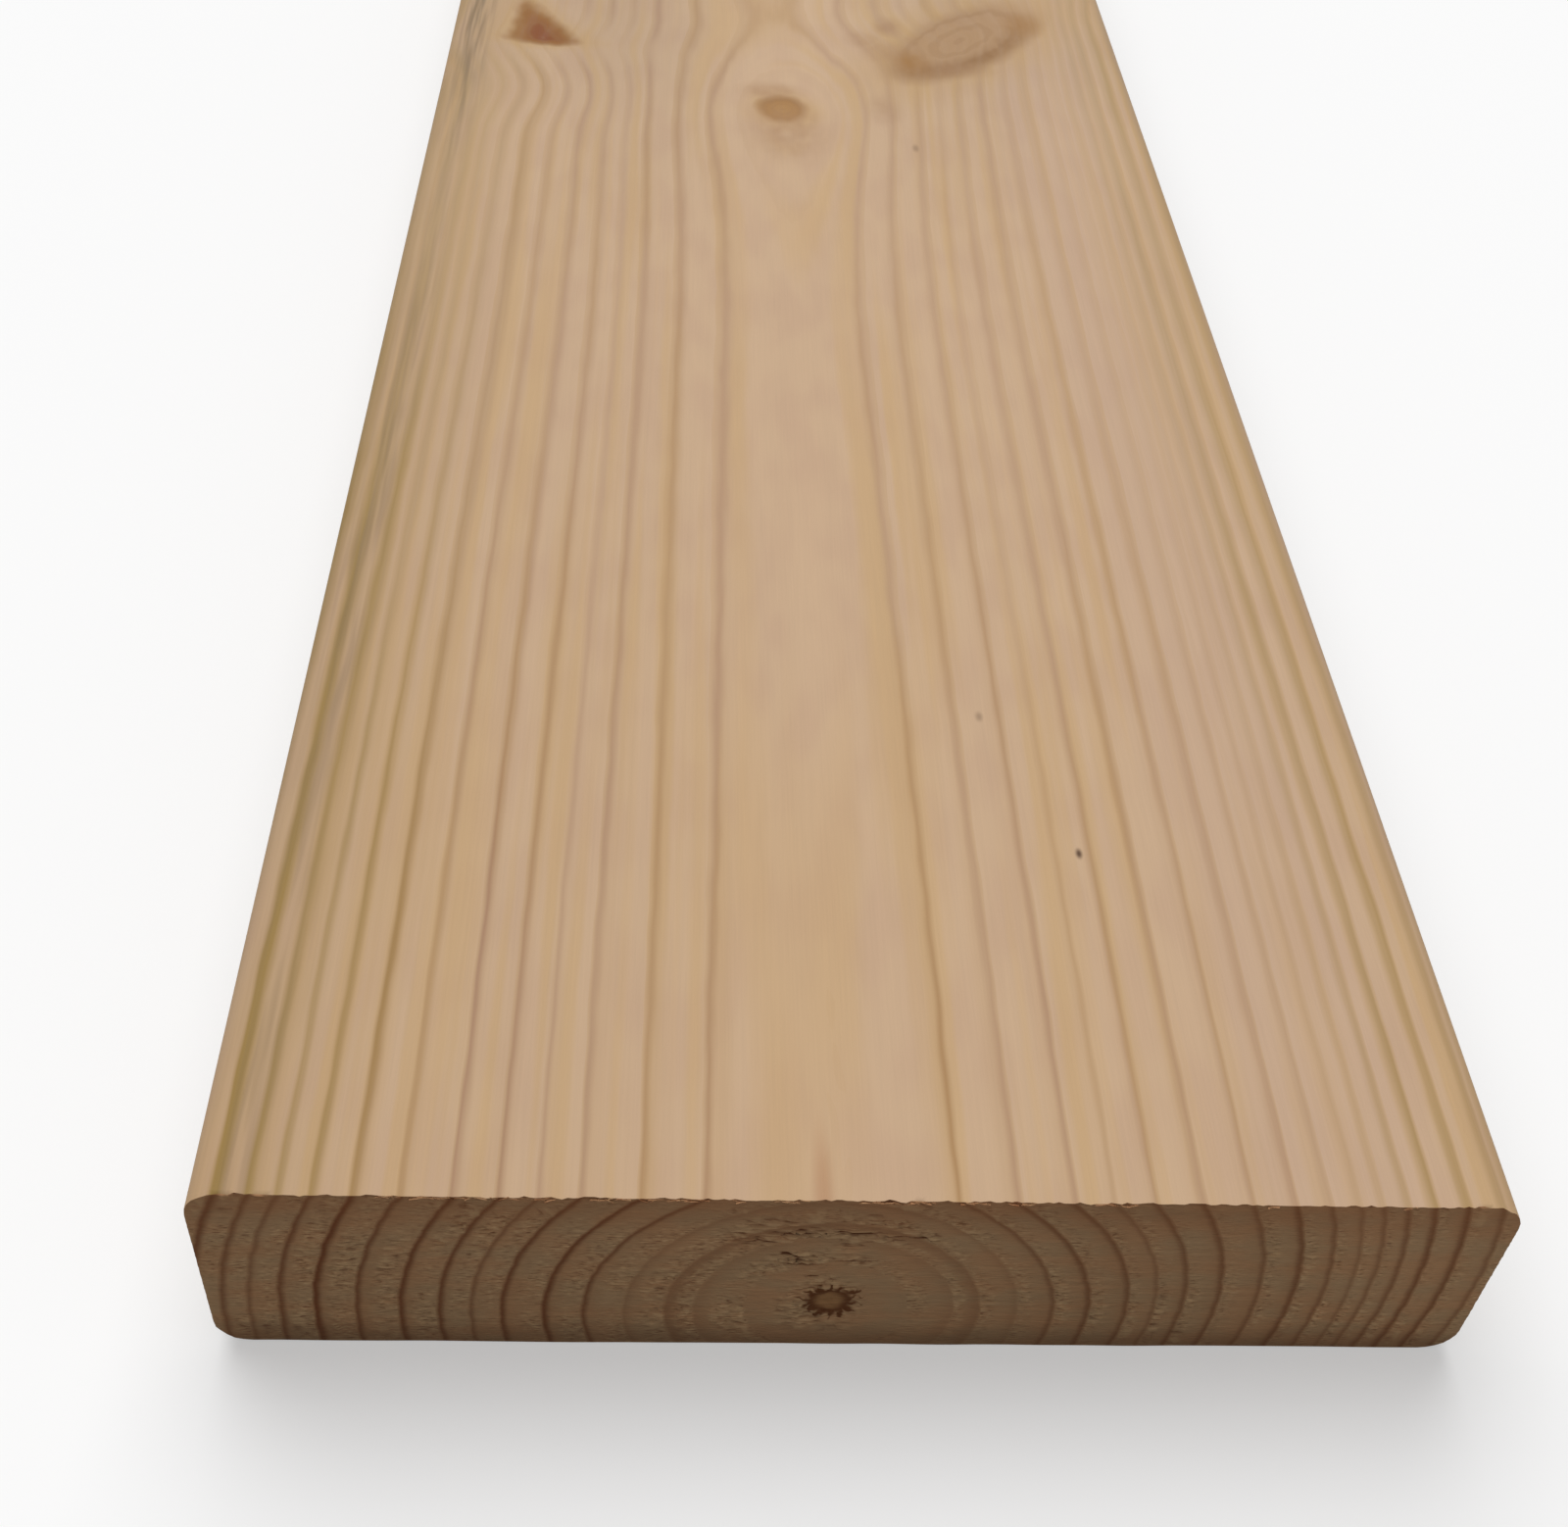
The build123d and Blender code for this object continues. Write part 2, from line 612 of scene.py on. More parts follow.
# marks on the top face: x, y, half width, half length, strength
specks = (
    (45.3, 79.3, 1.0, 2.0, 0.95),
    (29.7, 117.7, 1.2, 2.2, 0.40),
    (35.8, 370.7, 1.5, 3.6, 0.38),
)
smudges = (
    (-2.5, 378.0, 18.0, 28.0, 0.60),
    (-7.5, 405.0, 14.0, 9.0, 0.60),
    (33.0, 457.0, 7.0, 11.0, 0.65),
    (24.0, 446.0, 9.0, 9.0, 0.50),
    (30.0, 438.0, 9.0, 13.0, 0.55),
    (54.0, 427.0, 15.0, 9.0, 0.55),
    (28.0, 396.0, 8.0, 14.0, 0.40),
)
goldenMarks = (
    (39.0, 431.0, 8.0, 13.0, 0.70),
    (79.0, 464.0, 10.0, 13.0, 0.55),
)
pithMarks = ((-7.3, 2.0, 2.6, 18.0, 0.55),)


def spots(bench, place, marks):
    core, deep = 0.1, 5.0  # the share of a mark that is full, and the mm it goes down
    total = None
    for x, y, wide, long, strength in marks:
        away = bench.vector("SUBTRACT", place, (x, y, plankSize.z / mm))
        away = bench.vector("MULTIPLY", away, (1 / wide, 1 / long, 1 / deep))
        spot = bench.ease(bench.vector("LENGTH", away, None, 1), 1.0, core) * strength
        total = spot if total is None else total.math("MAXIMUM", spot)
    return total


# knots: a golden haze, then each branch's wood, its dark rim, its heart and its own years
def paintKnots(bench, colour, knots, blotch, ragged):
    face = planedFace
    haze = 0.0
    for knot in knots:
        haze = haze + bench.ease(knot["out"], *face["haloOut"])
    haze = haze.math("MINIMUM", 1.0) * rising(face["haloUneven"], blotch)
    colour = bench.mix(haze, colour, face["halo"])
    for knot in knots:
        branch = knot["branch"]
        out = knot["out"] + (ragged - 0.5) * branch["ragged"]
        inside = bench.ease(out, 1.0 + branch["soft"], 1.0 - branch["soft"])
        colour = bench.mix(inside * branch["fill"], colour, face[branch["wood"]])
        rim = bench.near(out, *face["rimZone"]) * rising(face["rimUneven"], ragged) * branch["rim"]
        if branch["side"]:
            facing = bench.ease(knot["raised"] * branch["side"], *face["rimTurn"])
            rim = rim * rising(face["rimSides"], facing)
        colour = bench.mix(rim, colour, face["knotRim"])
        heart = bench.ease(out, *face["heartOut"]) * branch["heart"]
        colour = bench.mix(heart, colour, face[branch["core"]])
        years = bench.ease((out * face["knotYears"]).math("COSINE"), *face["yearTurn"])
        colour = bench.mix(years * inside * face["yearShare"], colour, face["knotRim"])
    return colour


def brightness(bench, x, y, fibre, band):
    shade = dimming["least"] + dimming["fibre"] * fibre + dimming["band"] * band
    shade = shade - dimming["leftLess"] * bench.ease(x, *dimming["left"])
    far = bench.ease(y, *dimming["far"]) * bench.near(abs(x), *dimming["farZone"])
    shade = shade - dimming["farLess"] * far
    whorl = bench.ease(y, *dimming["whorl"]) * bench.ease(y, *dimming["whorlEnd"])
    return shade - dimming["whorlLess"] * whorl * bench.ease(abs(x), *dimming["whorlSides"])


def planedWood():
    material, bench = newBench("planedSoftwood")
    face = planedFace
    place = woodPlace(bench)
    x, y, z = bench.add("ShaderNodeSeparateXYZ", {}, {0: place}, ("X", "Y", "Z"))
    field = ringField(x, y, z)
    swell, knots = branchField(bench, field)
    wander = bench.waver(place, *grain["wander"])
    wobble = bench.waver(place, *grain["wobble"])
    reach = field["reach"] - swell + wander + wobble
    phase, dark, left = yearOf(bench, reach)
    # streaks that follow the rings, fine and broad, and blotches that don't
    streakSpot = bench.add("ShaderNodeCombineXYZ", {}, {0: reach, 1: y, 2: x * face["bandSlant"]})
    band = bench.cloud(streakSpot, *face["band"])
    strip = bench.cloud(streakSpot, *face["strip"])
    blotch = bench.cloud(place, *face["blotch"])
    colour = bench.mix(bench.ease(blotch, *face["earlyStep"]), face["pinkish"], face["early"])
    colour = tint(bench, colour, face["golden"], strip)
    colour = bench.mix(bench.near(x, *face["mauveZone"]) * face["mauveShare"], colour, face["mauve"])
    colour = tint(bench, colour, face["turning"], phase, dark)
    edge = face["leftShare"] - face["leftRimLess"] * bench.ease(x, *face["leftRim"])
    edge = edge * bench.ease(x, *face["leftMargin"])
    edge = edge + bench.ease(x, *face["rightMargin"]) * face["rightShare"]
    colour = bench.mix(edge * rising(face["edgeUneven"], blotch), colour, face["edge"])
    # the dark lines, gone at the knots
    line, strength = drawLines(bench, x, y, reach, dark, left)
    calm = 0.0
    for knot in knots:
        calm = calm + bench.ease(knot["out"], knot["branch"]["calm"], face["calmIn"])
    strength = strength * rising(darkLines["uneven"], band) * (1.0 - calm.math("MINIMUM", 1.0))
    late = bench.mix(bench.ease(strip, *face["mauveLines"]), face["late"], face["lateMauve"])
    late = bench.mix(bench.ease(abs(x), *face["goldenLines"]), late, face["lateGolden"])
    colour = bench.mix(strength, colour, late)
    ragged = bench.cloud(place, *face["ragged"])
    colour = paintKnots(bench, colour, knots, blotch, ragged)
    # smudges and marks, then the fine fibres over everything
    smudge = spots(bench, place, smudges) * rising(face["smudgeUneven"], ragged)
    colour = bench.mix(smudge, colour, face["smudge"])
    tips = spots(bench, place, goldenMarks) * rising(face["tipUneven"], ragged)
    colour = bench.mix(tips, colour, face["knotGolden"])
    pores = bench.ease(bench.cloud(place, *face["pores"]), *face["poreStep"])
    stain = bench.add("ShaderNodeValToRGB", {"stops": face["stainStops"]}, {0: y / face["stainLength"]})
    stain = stain * bench.near(x, *face["stainZone"]) * rising(face["stainUneven"], pores)
    colour = bench.mix(stain * bench.ease(z, *face["stainUp"]), colour, face["stain"])
    colour = bench.mix(spots(bench, place, pithMarks), colour, face["pithMark"])
    colour = bench.mix(spots(bench, place, specks), colour, face["speck"])
    fibre = bench.cloud(place, *face["fibre"])
    shade = bench.grey(brightness(bench, x, y, fibre, band))
    colour = bench.mix(1.0, colour, shade, "MULTIPLY")
    rough = face["roughness"] + face["fibreRough"] * fibre - face["lineSmooth"] * line
    finishWood(bench, face, colour, rough, fibre)
    return material


# Sawn ends

# dark torn wood, partly painted shade in pits and hollows; pale fibres, partly painted highlight on the
# raised ones
tornWoodAndShadePaint = paint(98, 54, 30)
paleFibreAndHighlightPaint = paint(222, 186, 140)

sawnEnd = {
    "early": paint(196, 152, 112),
    "grey": paint(190, 155, 117),
    "late": paint(120, 70, 42),
    "turning": (paint(168, 120, 82), 0.35, 0.95, 0.45),
    # flecks, pale where they stand out and dark in their hollows: partly their own tone, partly painted
    # highlight and shade
    "paleFleckAndHighlight": (paleFibreAndHighlightPaint, 0.53, 0.68, 0.75),
    "darkFleckAndShade": (tornWoodAndShadePaint, 0.46, 0.32, 0.55),
    # darker where the saw tore deeper: partly torn wood, partly painted shade in the pits and cracks
    "torn": (tornWoodAndShadePaint, 0.25, 1.40, 0.90),
    "proudFibresAndHighlight": (paleFibreAndHighlightPaint, -0.15, -0.85, 0.50),  # fibres that stand out between the torn ones, paler: partly their own tone, partly painted highlight
    "top": (paint(158, 100, 62), 33.0, 45.0, 0.34),  # mm up; browner towards the top, partly its own tone, partly painted shade under the top edge
    # painted shade: darker towards the foot, near the floor
    "paintedFootShade": (paint(112, 80, 58), 9.0, 0.0, 0.50),
    "roughness": 0.88,
    "shine": 0.12,
    "bump": (0.8, 0.35 * mm),  # strength and height
    "scratchBump": 0.6,
    "fleckBump": 0.6,
    "wobble": (0.9, (4.0, 60.0, 4.0), 2.0),  # the rings' waver: mm, over what size, detail
    # patterns: size in mm, detail, roughness, shift
    "patch": ((13.0, 13.0, 6.0), 2.0),
    "fleckPatch": ((17.0, 17.0, 9.0), 1.0, 0.5, (5.0, 1.0, 3.0)),
    "fleck": ((1.7, 6.0, 0.36), 1.0, 0.6),
    "scratch": ((5.0, 5.0, 0.38), 2.0, 0.65),
    # from none to full in a pattern or in mm, and shares: the least, and more
    "right": (-20.0, 30.0),  # mm across: paler lines and fewer flecks
    "greyStep": (0.35, 0.65),
    "lineWidth": 1.3,  # mm
    "lineSharp": 0.6,
    "lineSoft": (0.5, 3.0),
    "softLines": (38.0, 24.0),  # mm from the pith: the rings near it are faint bands
    "lineShown": (0.70, 0.30),
    "shownLines": (27.0, 36.0),
    "lineRight": (0.95, -0.30),
    "earlyRight": 0.25,
    "earlyStep": (0.80, 0.35),
    "fleckStep": (0.35, 0.62),
    "fleckUneven": (0.25, 0.75),
    "scratchShade": (0.79, 0.40),
    "rightStep": (40.0, 95.0),  # mm across
    # painted light: how much paler the end is made towards the right
    "paintedRightLight": 0.10,
}

pithStar = {
    "dark": paint(98, 52, 22),
    "pale": paint(182, 138, 94),
    "points": 14,
    "heart": 2.4,  # mm from the pith: its pale heart, where the points begin and end
    "heartSoft": 0.9,
    "inner": 3.8,
    "outer": 6.0,
    "edge": (0.8, -0.7),
    "jitter": ((2.0, 9.0, 2.0),),
    "jitterStep": (0.30, 0.70),
    "jitterTurn": 0.30,  # radians
    "uneven": (0.3, 1.1),
    "darkShare": 0.9,
    "paleShare": 0.80,
}


def paintStar(bench, colour, place, field):
    star = pithStar
    jitter = bench.ease(bench.cloud(place, *star["jitter"]), *star["jitterStep"])
    angle = field["dz"].math("ARCTAN2", field["dx"]) + star["jitterTurn"] * jitter
    points = 1.0 - abs((angle * (star["points"] / 2)).math("SINE"))
    length = (star["outer"] - star["inner"]) * points * rising(star["uneven"], jitter)
    inStar = bench.ease(field["radius"] - (star["inner"] + length), *star["edge"])
    heart, soft = star["heart"], star["heartSoft"]
    inHeart = bench.ease(field["radius"], heart + soft, heart - soft)
    colour = bench.mix(inStar * star["darkShare"], colour, star["dark"])
    return bench.mix(inHeart * star["paleShare"], colour, star["pale"])


def sawnWood():
    material, bench = newBench("sawnEndGrain")
    face = sawnEnd
    place = woodPlace(bench)
    x, y, z = bench.add("ShaderNodeSeparateXYZ", {}, {0: place}, ("X", "Y", "Z"))
    field = ringField(x, y, z)
    reach = field["reach"] + bench.waver(place, *face["wobble"])
    phase, dark, left = yearOf(bench, reach)
    soft = rising(face["lineSoft"], bench.ease(reach, *face["softLines"]))
    line = lateLine(bench, face["lineWidth"], dark, left, soft, face["lineSharp"])
    patch = bench.cloud(place, *face["patch"])
    colour = bench.mix(bench.ease(patch, *face["greyStep"]), face["early"], face["grey"])
    colour = tint(bench, colour, face["turning"], phase, dark)
    rightward = bench.ease(x, *face["right"])
    shown = rising(face["lineShown"], bench.ease(reach, *face["shownLines"]))
    line = line * dark * shown * rising(face["lineRight"], rightward)
    colour = bench.mix(line, colour, face["late"])
    # loose fibre flecks in the soft early wood, and what the saw tore, from the mesh: partly their own
    # tone, partly painted highlight on the raised fibres and painted shade in the hollows
    early = bench.ease(phase + face["earlyRight"] * rightward, *face["earlyStep"])
    thick = bench.ease(bench.cloud(place, *face["fleckPatch"]), *face["fleckStep"])
    where = early * rising(face["fleckUneven"], thick)
    fleck = bench.cloud(place, *face["fleck"])
    # pale and dark flecks: partly their own tone, partly painted highlight and painted shade
    colour = tint(bench, colour, face["paleFleckAndHighlight"], fleck, where)
    colour = tint(bench, colour, face["darkFleckAndShade"], fleck, where)
    torn = bench.add("ShaderNodeAttribute", {"attribute_name": "torn"}, {}, "Fac")
    # partly painted shade in the torn pits and cracks, partly painted highlight on the fibres between
    colour = tint(bench, colour, face["torn"], torn)
    colour = tint(bench, colour, face["proudFibresAndHighlight"], torn)
    # browner along the top, partly painted shade; darker at the foot, painted shade; paler to the right,
    # painted light
    colour = tint(bench, colour, face["top"], z)
    colour = tint(bench, colour, face["paintedFootShade"], z)
    scratch = bench.cloud(place, *face["scratch"])
    shade = rising(face["scratchShade"], scratch)
    # painted light: paler to the right
    shade = shade + face["paintedRightLight"] * bench.ease(x, *face["rightStep"])
    colour = bench.mix(1.0, colour, bench.grey(shade), "MULTIPLY")
    colour = paintStar(bench, colour, place, field)
    uneven = face["scratchBump"] * scratch + face["fleckBump"] * fleck
    finishWood(bench, face, colour, face["roughness"], uneven)
    return material


# Plank: a block with its long edges rounded, then cut into a fine net of faces

plank = {
    "arris": 6.0 * mm,
    "arrisSteps": 6,
    "netAcross": 240,
    "netUp": 110,
    "rowLength": 80.0 * mm,
    "endRows": (1.5 * mm, 5.0 * mm, 15.0 * mm),
    "merge": 0.001 * mm,
    "smoothAngle": 50.0,  # degrees
}


def selectEdges(piece, wanted):
    bpy.ops.object.mode_set(mode="EDIT")
    bpy.ops.mesh.select_mode(type="EDGE")
    bpy.ops.mesh.select_all(action="DESELECT")
    bpy.ops.object.mode_set(mode="OBJECT")
    points = piece.data.vertices
    for edge in piece.data.edges:
        first, last = (points[corner].co for corner in edge.vertices)
        edge.select = wanted(first, last)
    bpy.ops.object.mode_set(mode="EDIT")


def cutAcross(axis, place):
    point, normal = Vector(), Vector()
    point[axis] = place
    normal[axis] = 1.0
    bpy.ops.mesh.select_all(action="SELECT")
    bpy.ops.mesh.bisect(plane_co=point, plane_no=normal, threshold=plank["merge"])


def evenPlaces(low, high, count):
    return [low + (high - low) * step / count for step in range(count + 1)]


def arrisPlaces(low, high):
    steps, arris = plank["arrisSteps"], plank["arris"]
    insets = [arris * (1 - math.sin(math.pi / 2 * step / steps)) for step in range(1, steps)]
    return [low + inset for inset in insets] + [high - inset for inset in insets]


def makePlank():
    deselectAll()
    middle = (plankLow + plankHigh) / 2
    bpy.ops.mesh.primitive_cube_add(size=1, location=middle, scale=plankSize)
    piece = bpy.context.object
    piece.name = "planedPlank"
    bpy.ops.object.transform_apply(location=True, rotation=True, scale=True)
    selectEdges(piece, lambda first, last: abs(first.y - last.y) > plankSize.y / 2)
    bpy.ops.mesh.bevel(offset=plank["arris"], segments=plank["arrisSteps"], affect="EDGES")
    arris = plank["arris"]
    for axis, count in ((0, plank["netAcross"]), (2, plank["netUp"])):
        for place in evenPlaces(plankLow[axis] + arris, plankHigh[axis] - arris, count):
            cutAcross(axis, place)
    for axis in (0, 2):
        for place in arrisPlaces(plankLow[axis], plankHigh[axis]):
            cutAcross(axis, place)
    inset = plank["endRows"][-1]
    rows = round((plankSize.y - 2 * inset) / plank["rowLength"])
    for place in evenPlaces(plankLow.y + inset, plankHigh.y - inset, rows):
        cutAcross(1, place)
    for inset in plank["endRows"][:-1]:
        cutAcross(1, plankLow.y + inset)
        cutAcross(1, plankHigh.y - inset)
    bpy.ops.object.mode_set(mode="OBJECT")
    return piece


# Relief of the sawn ends: chips torn out of the early wood, cracks, and a ragged top edge, in mm

sawMarks = {
    "sink": 0.55,  # the torn face lies this far inside, so nothing stands out past the block
    "scratch": (0.12, 12.0, 0.8),  # depth, length, height of what the saw left
    "chip": (0.30, 2.3, 0.42),
    "fineChip": (0.35, 2.3, 1.6),  # on those: share, how many times shorter, how many lower
    "chipStep": (0.02, 0.42),
    "patch": (20.0, 11.0),  # length and height of the stretches with more and fewer chips
    "patchStep": (-0.30, 0.30),
    "patchShare": (0.20, 0.75),
    "early": (0.50, 0.35),  # share of a year where its soft wood ends, and over how much
    "right": (-15.0, 25.0),  # across: it ends sooner to the right
    "earlyRight": 0.25,
    "clear": 2.0,  # along the sides and the foot that stay whole
    "ragged": (0.25, 1.4, 9.0),  # along the top edge: depth, length, height
    "raggedDown": 1.3,  # how far down
    "raggedStep": (0.0, 0.35),
    "broken": (1.3, 0.6),  # length and height of the crumbs in a crack
    "brokenStep": (-0.60, 0.15),
    "crackSag": 0.35,
    "crackStep": (1.0, 0.35),
    "crackDeep": 2.3,
    "crackUneven": (0.7, 0.6),
    "crumbStep": (1.3, 0.7),  # round a crack
    "crumbHigh": 3.5,
    "crumbShare": 0.45,
    "dent": (4.5, 1.5),  # out from the pith
    "dentDeep": 0.3,
    "deepest": 2.0,
    "seeds": (0.5, 40.5),  # near end, far end
    "seedSteps": (3.7, 5.1, 9.3, 14.2, 21.4),
}

# cracks above the pith on the near end: x, z, half length, half height, depth
tears = (
    (-17.5, 33.2, 5.6, 0.7, 0.9),
    (-11.0, 35.0, 5.2, 0.8, 1.1),
    (-1.6, 35.6, 6.6, 0.8, 1.1),
    (6.6, 34.2, 6.0, 0.6, 0.7),
    (-10.8, 26.0, 5.4, 0.7, 1.0),
    (-10.2, 28.6, 4.0, 0.6, 0.7),
    (-1.0, 27.2, 6.4, 0.6, 1.0),
    (-2.0, 31.8, 4.4, 0.7, 0.6),
    (-6.6, 22.4, 2.6, 0.7, 0.7),
)


def smoothStep(low, high, values):
    share = np.clip((values - low) / (high - low), 0.0, 1.0)
    return share * share * (3.0 - 2.0 * share)


def roughness(x, z, long, high, seed):
    return np.array([noise.noise(Vector((a / long, seed, b / high))) for a, b in zip(x, z)])


def readNumbers(items, name, kind, width=1):
    numbers = np.empty(len(items) * width, kind)
    items.foreach_get(name, numbers)
    return numbers.reshape(-1, width) if width > 1 else numbers


# depth in mm and tornness at points of one end, in grain coordinates
def sawRelief(x, y, z, seed, cracks):
    saw = sawMarks
    chipSeed, fineSeed, patchSeed, edgeSeed, crumbSeed = (seed + step for step in saw["seedSteps"])
    field = ringField(x, y, z)
    radii = (0.0,) + grain["ringRadii"]
    phase = np.interp(field["reach"], radii, range(len(radii))) % 1.0
    soon = saw["earlyRight"] * smoothStep(*saw["right"], x)
    last, over = saw["early"]
    early = 1.0 - smoothStep(0.0, over, phase - last + soon)
    depth, long, high = saw["scratch"]
    relief = saw["sink"] + depth * roughness(x, z, long, high, seed)
    chipDeep, long, high = saw["chip"]
    share, shorter, lower = saw["fineChip"]
    fine = roughness(x, z, long / shorter, high / lower, fineSeed)
    fibre = roughness(x, z, long, high, chipSeed) + share * fine
    patch = smoothStep(*saw["patchStep"], roughness(x, z, *saw["patch"], patchSeed))
    chips = smoothStep(*saw["chipStep"], fibre) - smoothStep(*saw["chipStep"], -fibre)
    clear = saw["clear"]
    whole = smoothStep(0.0, clear, z) * smoothStep(0.0, clear, plankSize.x / 2 / mm - np.abs(x))
    torn = chips * early * rising(saw["patchShare"], patch) * whole
    edgeDeep, long, high = saw["ragged"]
    edge = smoothStep(saw["raggedDown"], 0.0, plankSize.z / mm - z)
    edge = edge * smoothStep(*saw["raggedStep"], roughness(x, z, long, high, edgeSeed))
    torn = torn + edge * (edgeDeep / chipDeep) * whole
    broken = smoothStep(*saw["brokenStep"], roughness(x, z, *saw["broken"], crumbSeed))
    for crackX, crackZ, halfLong, halfHigh, deep in cracks:
        bend = (x - crackX) / halfLong
        above = (z - crackZ + saw["crackSag"] * bend * bend) / halfHigh
        crack = smoothStep(*saw["crackStep"], np.hypot(bend, above))
        crumbs = smoothStep(*saw["crumbStep"], np.hypot(bend, above / saw["crumbHigh"]))
        gap = deep * saw["crackDeep"] * broken * rising(saw["crackUneven"], fibre) * crack
        torn = torn + gap + saw["crumbShare"] * crumbs * chips
    dent = smoothStep(*saw["dent"], field["radius"])
    relief = relief + chipDeep * torn + saw["dentDeep"] * dent
    return np.clip(relief, 0.0, saw["deepest"]), torn


def roughenEnds(piece):
    corners = readNumbers(piece.data.vertices, "co", float, 3)
    torn = np.zeros(len(corners))
    ends = ((plankLow.y, 1.0, tears), (plankHigh.y, -1.0, ()))
    for (end, inward, cracks), seed in zip(ends, sawMarks["seeds"]):
        chosen = np.abs(corners[:, 1] - end) < plank["merge"]
        x = corners[chosen, 0] / mm
        y = (corners[chosen, 1] - plankLow.y) / mm
        z = (corners[chosen, 2] - plankLow.z) / mm
        relief, torn[chosen] = sawRelief(x, y, z, seed, cracks)
        corners[chosen, 1] += inward * relief * mm
    piece.data.vertices.foreach_set("co", corners.ravel())
    attribute = piece.data.attributes.new("torn", "FLOAT", "POINT")
    attribute.data.foreach_set("value", torn)
    piece.data.update()


# Splinters: torn fibres along the top edge of both ends, one sliver copied many times

splinters = {
    "stretches": (  # mm across the plank where the saw tore the edge
        (-79, -75), (-73, -56), (-54, -51), (-45, -39), (-37, -33), (-32, -26),
        (-22, -20), (-15, -10), (-1, 11), (15, 20), (23, 27), (38, 44), (66, 68), (88, 91),
    ),
    "spacing": 0.8,  # mm
    "long": (0.7, 2.2),
    "thick": (0.16, 0.42),
    "flat": 1.3,  # times as deep as thick
    "heading": (55.0, 88.0),  # degrees from upright, to either side
    "lean": (-10.0, 35.0),  # degrees outwards
    "inset": 0.5,  # mm from the end, times the spread
    "insetSpread": (0.5, 1.2),
    "sunk": (0.2, 1.1),  # share of its thickness below the top face
    "sides": 5,
    "root": 0.5,  # radii of a sliver of length 1
    "tip": 0.1,
    "hooked": 0.4,  # its tip, above this height, hooks over
    "hook": (0.55, 0.0, -0.05),
    "torn": 0.6,  # how dark, as the torn wood of the ends
    "seed": 12,
}


def makeSliver():
    deselectAll()
    bpy.ops.mesh.primitive_cone_add(
        vertices=splinters["sides"], radius1=splinters["root"], radius2=splinters["tip"], depth=1.0
    )
    sliver = bpy.context.object
    sliver.name = "splinter"
    bpy.ops.object.mode_set(mode="EDIT")
    bpy.ops.mesh.select_all(action="SELECT")
    bpy.ops.mesh.bisect(plane_co=(0, 0, 0), plane_no=(0, 0, 1))
    bpy.ops.mesh.select_all(action="DESELECT")
    bpy.ops.object.mode_set(mode="OBJECT")
    for point in sliver.data.vertices:
        point.select = point.co.z > splinters["hooked"]
    bpy.ops.object.mode_set(mode="EDIT")
    bpy.ops.transform.translate(value=splinters["hook"])
    bpy.ops.object.mode_set(mode="OBJECT")
    attribute = sliver.data.attributes.new("torn", "FLOAT", "POINT")
    attribute.data.foreach_set("value", [splinters["torn"]] * len(sliver.data.vertices))
    return sliver


def addSplinters(piece):
    sliver = makeSliver()
    draw = random.Random(splinters["seed"])
    copies = []
    for end, outward, flip in ((plankLow.y, -1.0, 1.0), (plankHigh.y, 1.0, -1.0)):
        for first, last in splinters["stretches"]:
            for step in range(max(1, round((last - first) / splinters["spacing"]))):
                x = flip * (first + (step + draw.random()) * splinters["spacing"])
                long = draw.uniform(*splinters["long"]) * mm
                thick = draw.uniform(*splinters["thick"]) * mm
                heading = draw.choice((-1.0, 1.0)) * math.radians(draw.uniform(*splinters["heading"]))
                lean = outward * math.radians(draw.uniform(*splinters["lean"]))
                inside = -outward * splinters["inset"] * mm * draw.uniform(*splinters["insetSpread"])
                height = plankHigh.z - thick * draw.uniform(*splinters["sunk"])
                matrix = (
                    Matrix.Translation((x * mm, end + inside, height))
                    @ Matrix.Rotation(-lean, 4, "X")
                    @ Matrix.Rotation(heading, 4, "Y")
                    @ Matrix.Diagonal((thick, thick * splinters["flat"], long, 1.0))
                )
                copy = sliver.copy()
                copy.data = sliver.data.copy()
                copy.data.transform(matrix)
                bpy.context.collection.objects.link(copy)
                copies.append(copy)
    bpy.data.objects.remove(sliver)
    deselectAll()
    for copy in copies:
        copy.select_set(True)
    piece.select_set(True)
    bpy.context.view_layer.objects.active = piece
    bpy.ops.object.join()
    return len(copies)


def dressPlank(piece, plankFaces, endFaces):
    piece.data.materials.append(planedWood())
    piece.data.materials.append(sawnWood())
    for face in piece.data.polygons:
        face.material_index = int(face.index in endFaces or face.index >= plankFaces)
    bpy.ops.object.shade_smooth_by_angle(angle=math.radians(plank["smoothAngle"]))


# Bake map: the long faces unrolled side by side, the splinters and both ends in rows above them

bakeMap = {
    "name": "OFBake",
    "border": 0.003,
    "longRow": 0.860,  # top of the long faces
    "splinterRow": (0.867, 0.878),
    "splinterDrop": 3.0 * mm,  # height along the edge that the splinters take up
    "splinterRise": 0.3,  # share of it above the top face
    "endRow": (0.886, 0.997),
}


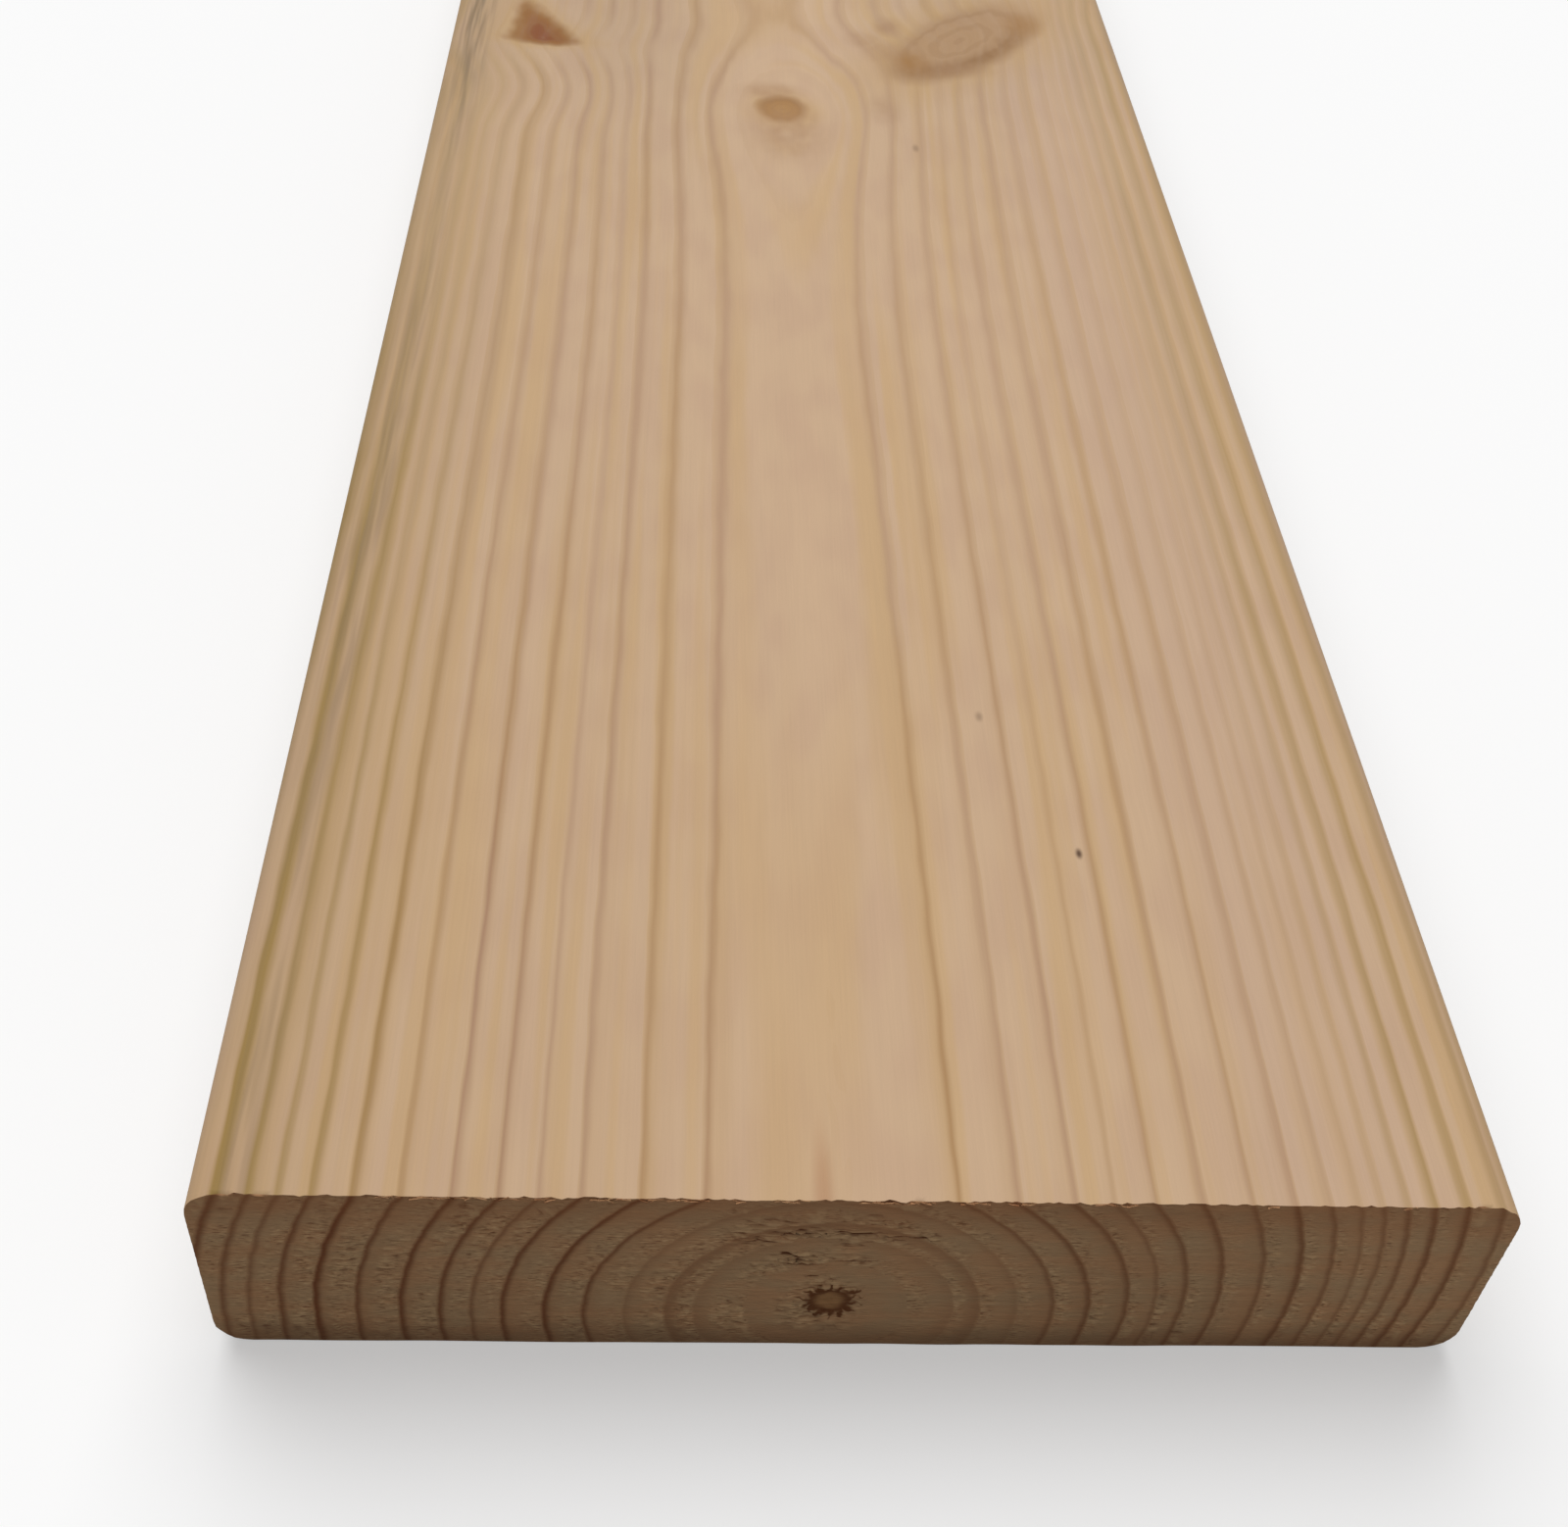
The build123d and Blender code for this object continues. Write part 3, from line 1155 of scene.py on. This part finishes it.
# how far round the section points lie, from a seam at the left of the underside, and the whole girth
def roundSection(x, z):
    arris = plank["arris"]
    flatX, flatZ = plankSize.x / 2 - arris, plankSize.z / 2 - arris
    high = z - (plankLow.z + plankHigh.z) / 2
    coreX, coreZ = np.clip(x, -flatX, flatX), np.clip(high, -flatZ, flatZ)
    outX = np.where(np.abs(x - coreX) < plank["merge"], 0.0, x - coreX)
    turn = np.arctan2(outX, coreZ - high) % (2 * math.pi)
    side = np.floor(turn / (math.pi / 2) + 0.5).astype(int)  # under, right, top, left, under again
    walked = np.choose(side, (
        flatX + coreX,
        2 * flatX + flatZ + coreZ,
        3 * flatX + 2 * flatZ - coreX,
        4 * flatX + 3 * flatZ - coreZ,
        4 * flatZ + 5 * flatX + coreX,
    ))
    return walked + arris * turn, 4 * (flatX + flatZ) + 2 * math.pi * arris


def unrollPlank(piece, plankFaces):
    mesh = piece.data
    first = readNumbers(mesh.polygons, "loop_start", np.int32)
    face = np.repeat(np.arange(len(first)), readNumbers(mesh.polygons, "loop_total", np.int32))
    corner = readNumbers(mesh.loops, "vertex_index", np.int32)
    x, y, z = readNumbers(mesh.vertices, "co", float, 3)[corner].T
    around, girth = roundSection(x, z)
    spread = np.maximum.reduceat(around, first) - np.minimum.reduceat(around, first)
    around = np.where((spread[face] > girth / 2) & (around < girth / 2), around + girth, around)
    border = bakeMap["border"]
    long = np.stack((
        1 - border - (1 - 2 * border) * around / girth,
        border + (bakeMap["longRow"] - border) * (y - plankLow.y) / plankSize.y,
    ), 1)
    farEnd = y > (plankLow.y + plankHigh.y) / 2
    fromLeft = np.where(farEnd, plankHigh.x - x, x - plankLow.x) / plankSize.x  # as seen from outside
    across = border + (0.5 - 2 * border) * fromLeft + 0.5 * farEnd
    low, high = bakeMap["endRow"]
    ends = np.stack((across, low + (high - low) * (z - plankLow.z) / plankSize.z), 1)
    low, high = bakeMap["splinterRow"]
    top = plankHigh.z + bakeMap["splinterRise"] * bakeMap["splinterDrop"]
    down = np.clip((top - z) / bakeMap["splinterDrop"], 0.0, 1.0)
    slivers = np.stack((across, high - (high - low) * down), 1)
    sawn = readNumbers(mesh.polygons, "material_index", np.int32)[face] == 1
    places = np.where(sawn[:, None], ends, long)
    places = np.where((face >= plankFaces)[:, None], slivers, places)
    layer = mesh.uv_layers.new(name=bakeMap["name"])
    layer.uv.foreach_set("vector", places.astype(np.float32).ravel())


piece = makePlank()
plankFaces = len(piece.data.polygons)
endFaces = {face.index for face in piece.data.polygons if abs(face.normal.y) > 0.5}
print("plank cut:", plankFaces, "faces")
roughenEnds(piece)
print("ends sawn")
print("splinters:", addSplinters(piece))
dressPlank(piece, plankFaces, endFaces)
unrollPlank(piece, plankFaces)
print("plank dressed")
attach(piece, "root")
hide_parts("plank")
